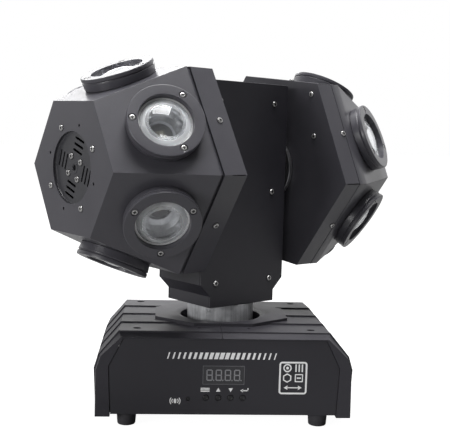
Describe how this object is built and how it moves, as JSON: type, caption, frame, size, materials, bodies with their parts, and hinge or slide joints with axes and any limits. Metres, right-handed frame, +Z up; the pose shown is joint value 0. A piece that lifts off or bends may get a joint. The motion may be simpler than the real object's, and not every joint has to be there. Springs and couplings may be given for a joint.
{
  "type": "rotating led effect light",
  "caption": "Two hexagonal lens heads that spin without end on the sides of a yoke, which pans on a banded base with a display panel in front.",
  "frame": {"origin": "on the floor, on the pan axis, midway between the feet", "axes": "+Z up along the pan axis; -Y towards the control panel; +X to the right of someone who faces the control panel"},
  "size_m": [0.3306, 0.2891, 0.3117],
  "materials": {
    "black_steel": "satin black powder coat",
    "black_plastic": "moulded, fine texture",
    "panel_black": "satin black paint",
    "rubber": "matte",
    "bare_aluminium": "turned",
    "motor_black": "black anodised",
    "pan_grey": "light grey, turned",
    "board_green": "solder mask",
    "clear_lens": "clear, polished"
  },
  "bodies": {
    "base": {"base_shell_left": "black_plastic", "base_shell_right": "black_plastic", "front_panel": "panel_black", "rear_panel": "panel_black", "bottom_plate": "black_steel", "display_module": "board_green", "power_inlet": "black_plastic", "dmx_input": "black_plastic", "dmx_output": "black_plastic", "pan_motor": "motor_black", "foot_front_left": "rubber", "foot_front_right": "rubber", "foot_rear_left": "rubber", "foot_rear_right": "rubber"},
    "pan_assembly": {"pan_hub": "pan_grey", "yoke_frame": "black_steel", "yoke_front_cover": "black_steel", "yoke_rear_cover": "black_steel", "tilt_motor_left": "motor_black", "tilt_motor_right": "motor_black"},
    "head_left": {"head_housing_left": "black_steel", "head_lid_left": "black_steel", "tilt_shaft_left": "bare_aluminium", "light_core_left": "bare_aluminium", "end_cup_left": "black_steel", "lens_ring_left_1": "black_steel", "lens_left_1": "clear_lens", "lens_ring_left_2": "black_steel", "lens_left_2": "clear_lens", "lens_ring_left_3": "black_steel", "lens_left_3": "clear_lens", "lens_ring_left_4": "black_steel", "lens_left_4": "clear_lens", "lens_ring_left_5": "black_steel", "lens_left_5": "clear_lens", "lens_ring_left_6": "black_steel", "lens_left_6": "clear_lens"},
    "fan_left": {"fan_rotor_left": "black_plastic"},
    "head_right": {"head_housing_right": "black_steel", "head_lid_right": "black_steel", "tilt_shaft_right": "bare_aluminium", "light_core_right": "bare_aluminium", "end_cup_right": "black_steel", "lens_ring_right_1": "black_steel", "lens_right_1": "clear_lens", "lens_ring_right_2": "black_steel", "lens_right_2": "clear_lens", "lens_ring_right_3": "black_steel", "lens_right_3": "clear_lens", "lens_ring_right_4": "black_steel", "lens_right_4": "clear_lens", "lens_ring_right_5": "black_steel", "lens_right_5": "clear_lens", "lens_ring_right_6": "black_steel", "lens_right_6": "clear_lens"},
    "fan_right": {"fan_rotor_right": "black_plastic"},
    "menu_button_body": {"menu_button": "black_plastic"},
    "up_button_body": {"up_button": "black_plastic"},
    "down_button_body": {"down_button": "black_plastic"},
    "enter_button_body": {"enter_button": "black_plastic"}
  },
  "joints": [
    {"name": "pan", "type": "hinge", "parent": "base", "child": "pan_assembly", "pos_m": [0, 0, 0.0964], "axis": [0, 0, 1], "range_deg": [-270, 270]},
    {"name": "head_left_spin", "type": "hinge", "parent": "pan_assembly", "child": "head_left", "pos_m": [-0.04711, -0.03486, 0.2182], "axis": [-0.8039, -0.5948, 0], "continuous": true},
    {"name": "fan_left_spin", "type": "hinge", "parent": "head_left", "child": "fan_left", "pos_m": [-0.12058, -0.08922, 0.2182], "axis": [-0.8039, -0.5948, 0], "continuous": true},
    {"name": "head_right_spin", "type": "hinge", "parent": "pan_assembly", "child": "head_right", "pos_m": [0.04711, 0.03486, 0.2182], "axis": [0.8039, 0.5948, 0], "continuous": true},
    {"name": "fan_right_spin", "type": "hinge", "parent": "head_right", "child": "fan_right", "pos_m": [0.12058, 0.08922, 0.2182], "axis": [0.8039, 0.5948, 0], "continuous": true},
    {"name": "menu_button_press", "type": "slide", "parent": "base", "child": "menu_button_body", "axis": [0, 1, 0], "range_m": [0, 0.0008], "stiffness_N_per_m": 900, "springref_m": -0.0003},
    {"name": "up_button_press", "type": "slide", "parent": "base", "child": "up_button_body", "axis": [0, 1, 0], "range_m": [0, 0.0008], "stiffness_N_per_m": 900, "springref_m": -0.0003},
    {"name": "down_button_press", "type": "slide", "parent": "base", "child": "down_button_body", "axis": [0, 1, 0], "range_m": [0, 0.0008], "stiffness_N_per_m": 900, "springref_m": -0.0003},
    {"name": "enter_button_press", "type": "slide", "parent": "base", "child": "enter_button_body", "axis": [0, 1, 0], "range_m": [0, 0.0008], "stiffness_N_per_m": 900, "springref_m": -0.0003}
  ]
}
